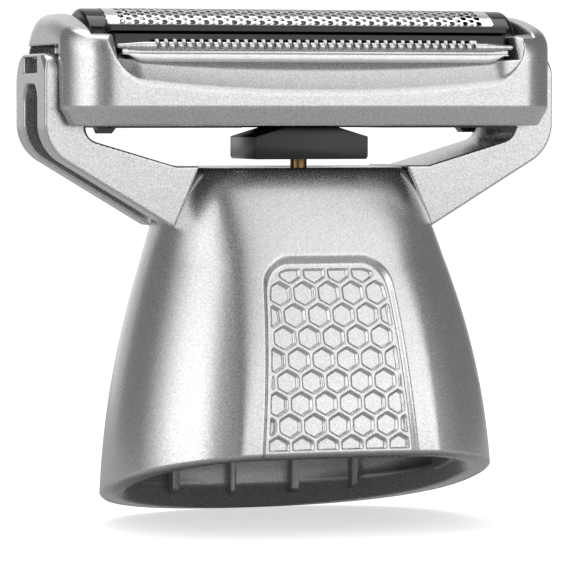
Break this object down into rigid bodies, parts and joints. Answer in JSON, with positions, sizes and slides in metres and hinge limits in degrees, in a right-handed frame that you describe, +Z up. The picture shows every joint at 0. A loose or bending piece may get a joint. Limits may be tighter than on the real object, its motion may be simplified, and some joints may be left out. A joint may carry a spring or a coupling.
{
  "type": "electric shaver head",
  "caption": "Foil shaver head on a two-armed yoke, with tilting head, oscillating cutter, trimmer comb and a hollow clip-on handle socket.",
  "frame": {"origin": "on the ground plane under the middle of the handle rim, bottom centre of the bounding box", "axes": "+Z up along the drive spindle, +X along the foil to the right, front of the shaver towards -Y"},
  "size_m": [0.0544, 0.0311, 0.053],
  "materials": {
    "silver_abs": "satin metallic silver paint on moulded ABS",
    "dark_abs": "matt dark grey moulding",
    "black_acetal": "moulded black acetal",
    "black_gloss": "glossy black moulding",
    "plated_steel": "zinc plated steel",
    "blade_steel": "ground stainless blade steel",
    "nickel_foil": "electroformed nickel foil",
    "brass_rod": "turned brass",
    "soft_seal": "moulded rubber"
  },
  "bodies": {
    "base": {"base_housing": "silver_abs", "left_arm": "silver_abs", "right_arm": "silver_abs", "left_arm_inlay": "dark_abs", "right_arm_inlay": "dark_abs", "arm_screws": "plated_steel", "left_pivot_pin": "plated_steel", "right_pivot_pin": "plated_steel", "drive_chassis": "black_acetal", "chassis_screws": "plated_steel", "lever_axle": "plated_steel", "spindle_seal": "soft_seal"},
    "drive": {"drive_lever": "black_acetal", "drive_spindle": "brass_rod", "drive_block": "black_acetal"},
    "head": {"head_cover": "silver_abs", "head_frame": "black_acetal", "foil_frame": "black_gloss", "foil_sheet": "nickel_foil", "trimmer_comb": "blade_steel", "trimmer_ledge": "silver_abs", "trimmer_spring": "plated_steel"},
    "cutter": {"cutter_carrier": "black_acetal", "cutter_blades": "blade_steel", "cutter_springs": "plated_steel"},
    "trimmer": {"trimmer_blade": "blade_steel"}
  },
  "joints": [
    {"name": "drive_swing", "type": "hinge", "parent": "base", "child": "drive", "pos_m": [0, -0.00125, 0.024], "axis": [0, 1, 0], "range_deg": [-3, 3]},
    {"name": "head_tilt", "type": "hinge", "parent": "base", "child": "head", "pos_m": [0, 0.003, 0.04735], "axis": [1, 0, 0], "range_deg": [-6, 6]},
    {"name": "cutter_slide", "type": "slide", "parent": "head", "child": "cutter", "axis": [1, 0, 0], "range_m": [-0.00115, 0.00115]},
    {"name": "trimmer_slide", "type": "slide", "parent": "head", "child": "trimmer", "axis": [1, 0, 0], "range_m": [-0.00115, 0.00115]}
  ],
  "couplings": [
    {"joint": "drive_swing", "follows": "cutter_slide", "rad_per_m": 45.66},
    {"joint": "trimmer_slide", "follows": "cutter_slide", "ratio": 1}
  ]
}
